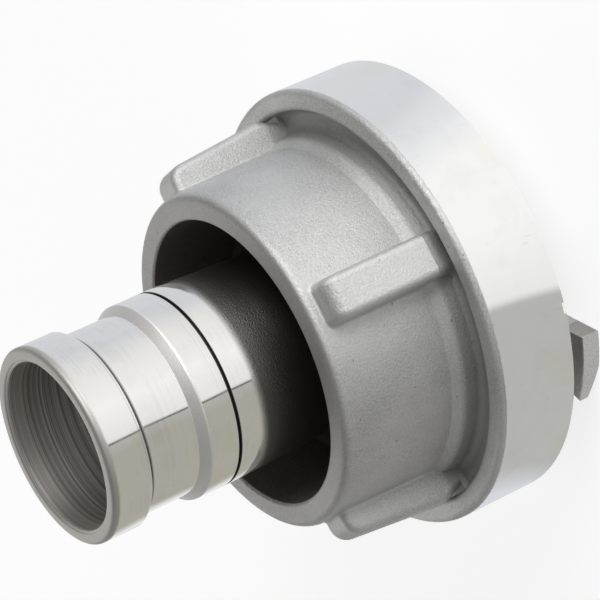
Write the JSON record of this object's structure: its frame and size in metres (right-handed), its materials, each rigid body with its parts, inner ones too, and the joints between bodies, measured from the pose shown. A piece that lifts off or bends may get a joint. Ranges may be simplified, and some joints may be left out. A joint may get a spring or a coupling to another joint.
{
  "type": "quarter turn fire hose coupling",
  "caption": "Aluminium quarter turn fire hose coupling: a ribbed lug ring that swivels on a beaded hose tail, with a lip seal in its face.",
  "frame": {"origin": "middle of the plane that the two lug tips stand on, on the waterway's axis", "axes": "+Z along the waterway from the coupling face to the hose end, X through the two lugs"},
  "size_m": [0.126, 0.126, 0.1342],
  "materials": {
    "lug_ring": "sand cast, machined at the band",
    "hose_tail": "turned bright",
    "snap_ring": "spring steel",
    "lip_seal": "matt black"
  },
  "bodies": {
    "coupling_head": {"lug_ring": "lug_ring"},
    "tail_assembly": {"hose_tail": "hose_tail", "snap_ring": "snap_ring", "lip_seal": "lip_seal"}
  },
  "joints": [
    {"name": "tail_swivel", "type": "hinge", "parent": "coupling_head", "child": "tail_assembly", "pos_m": [0, 0, 0.045], "axis": [0, 0, 1], "continuous": true}
  ]
}
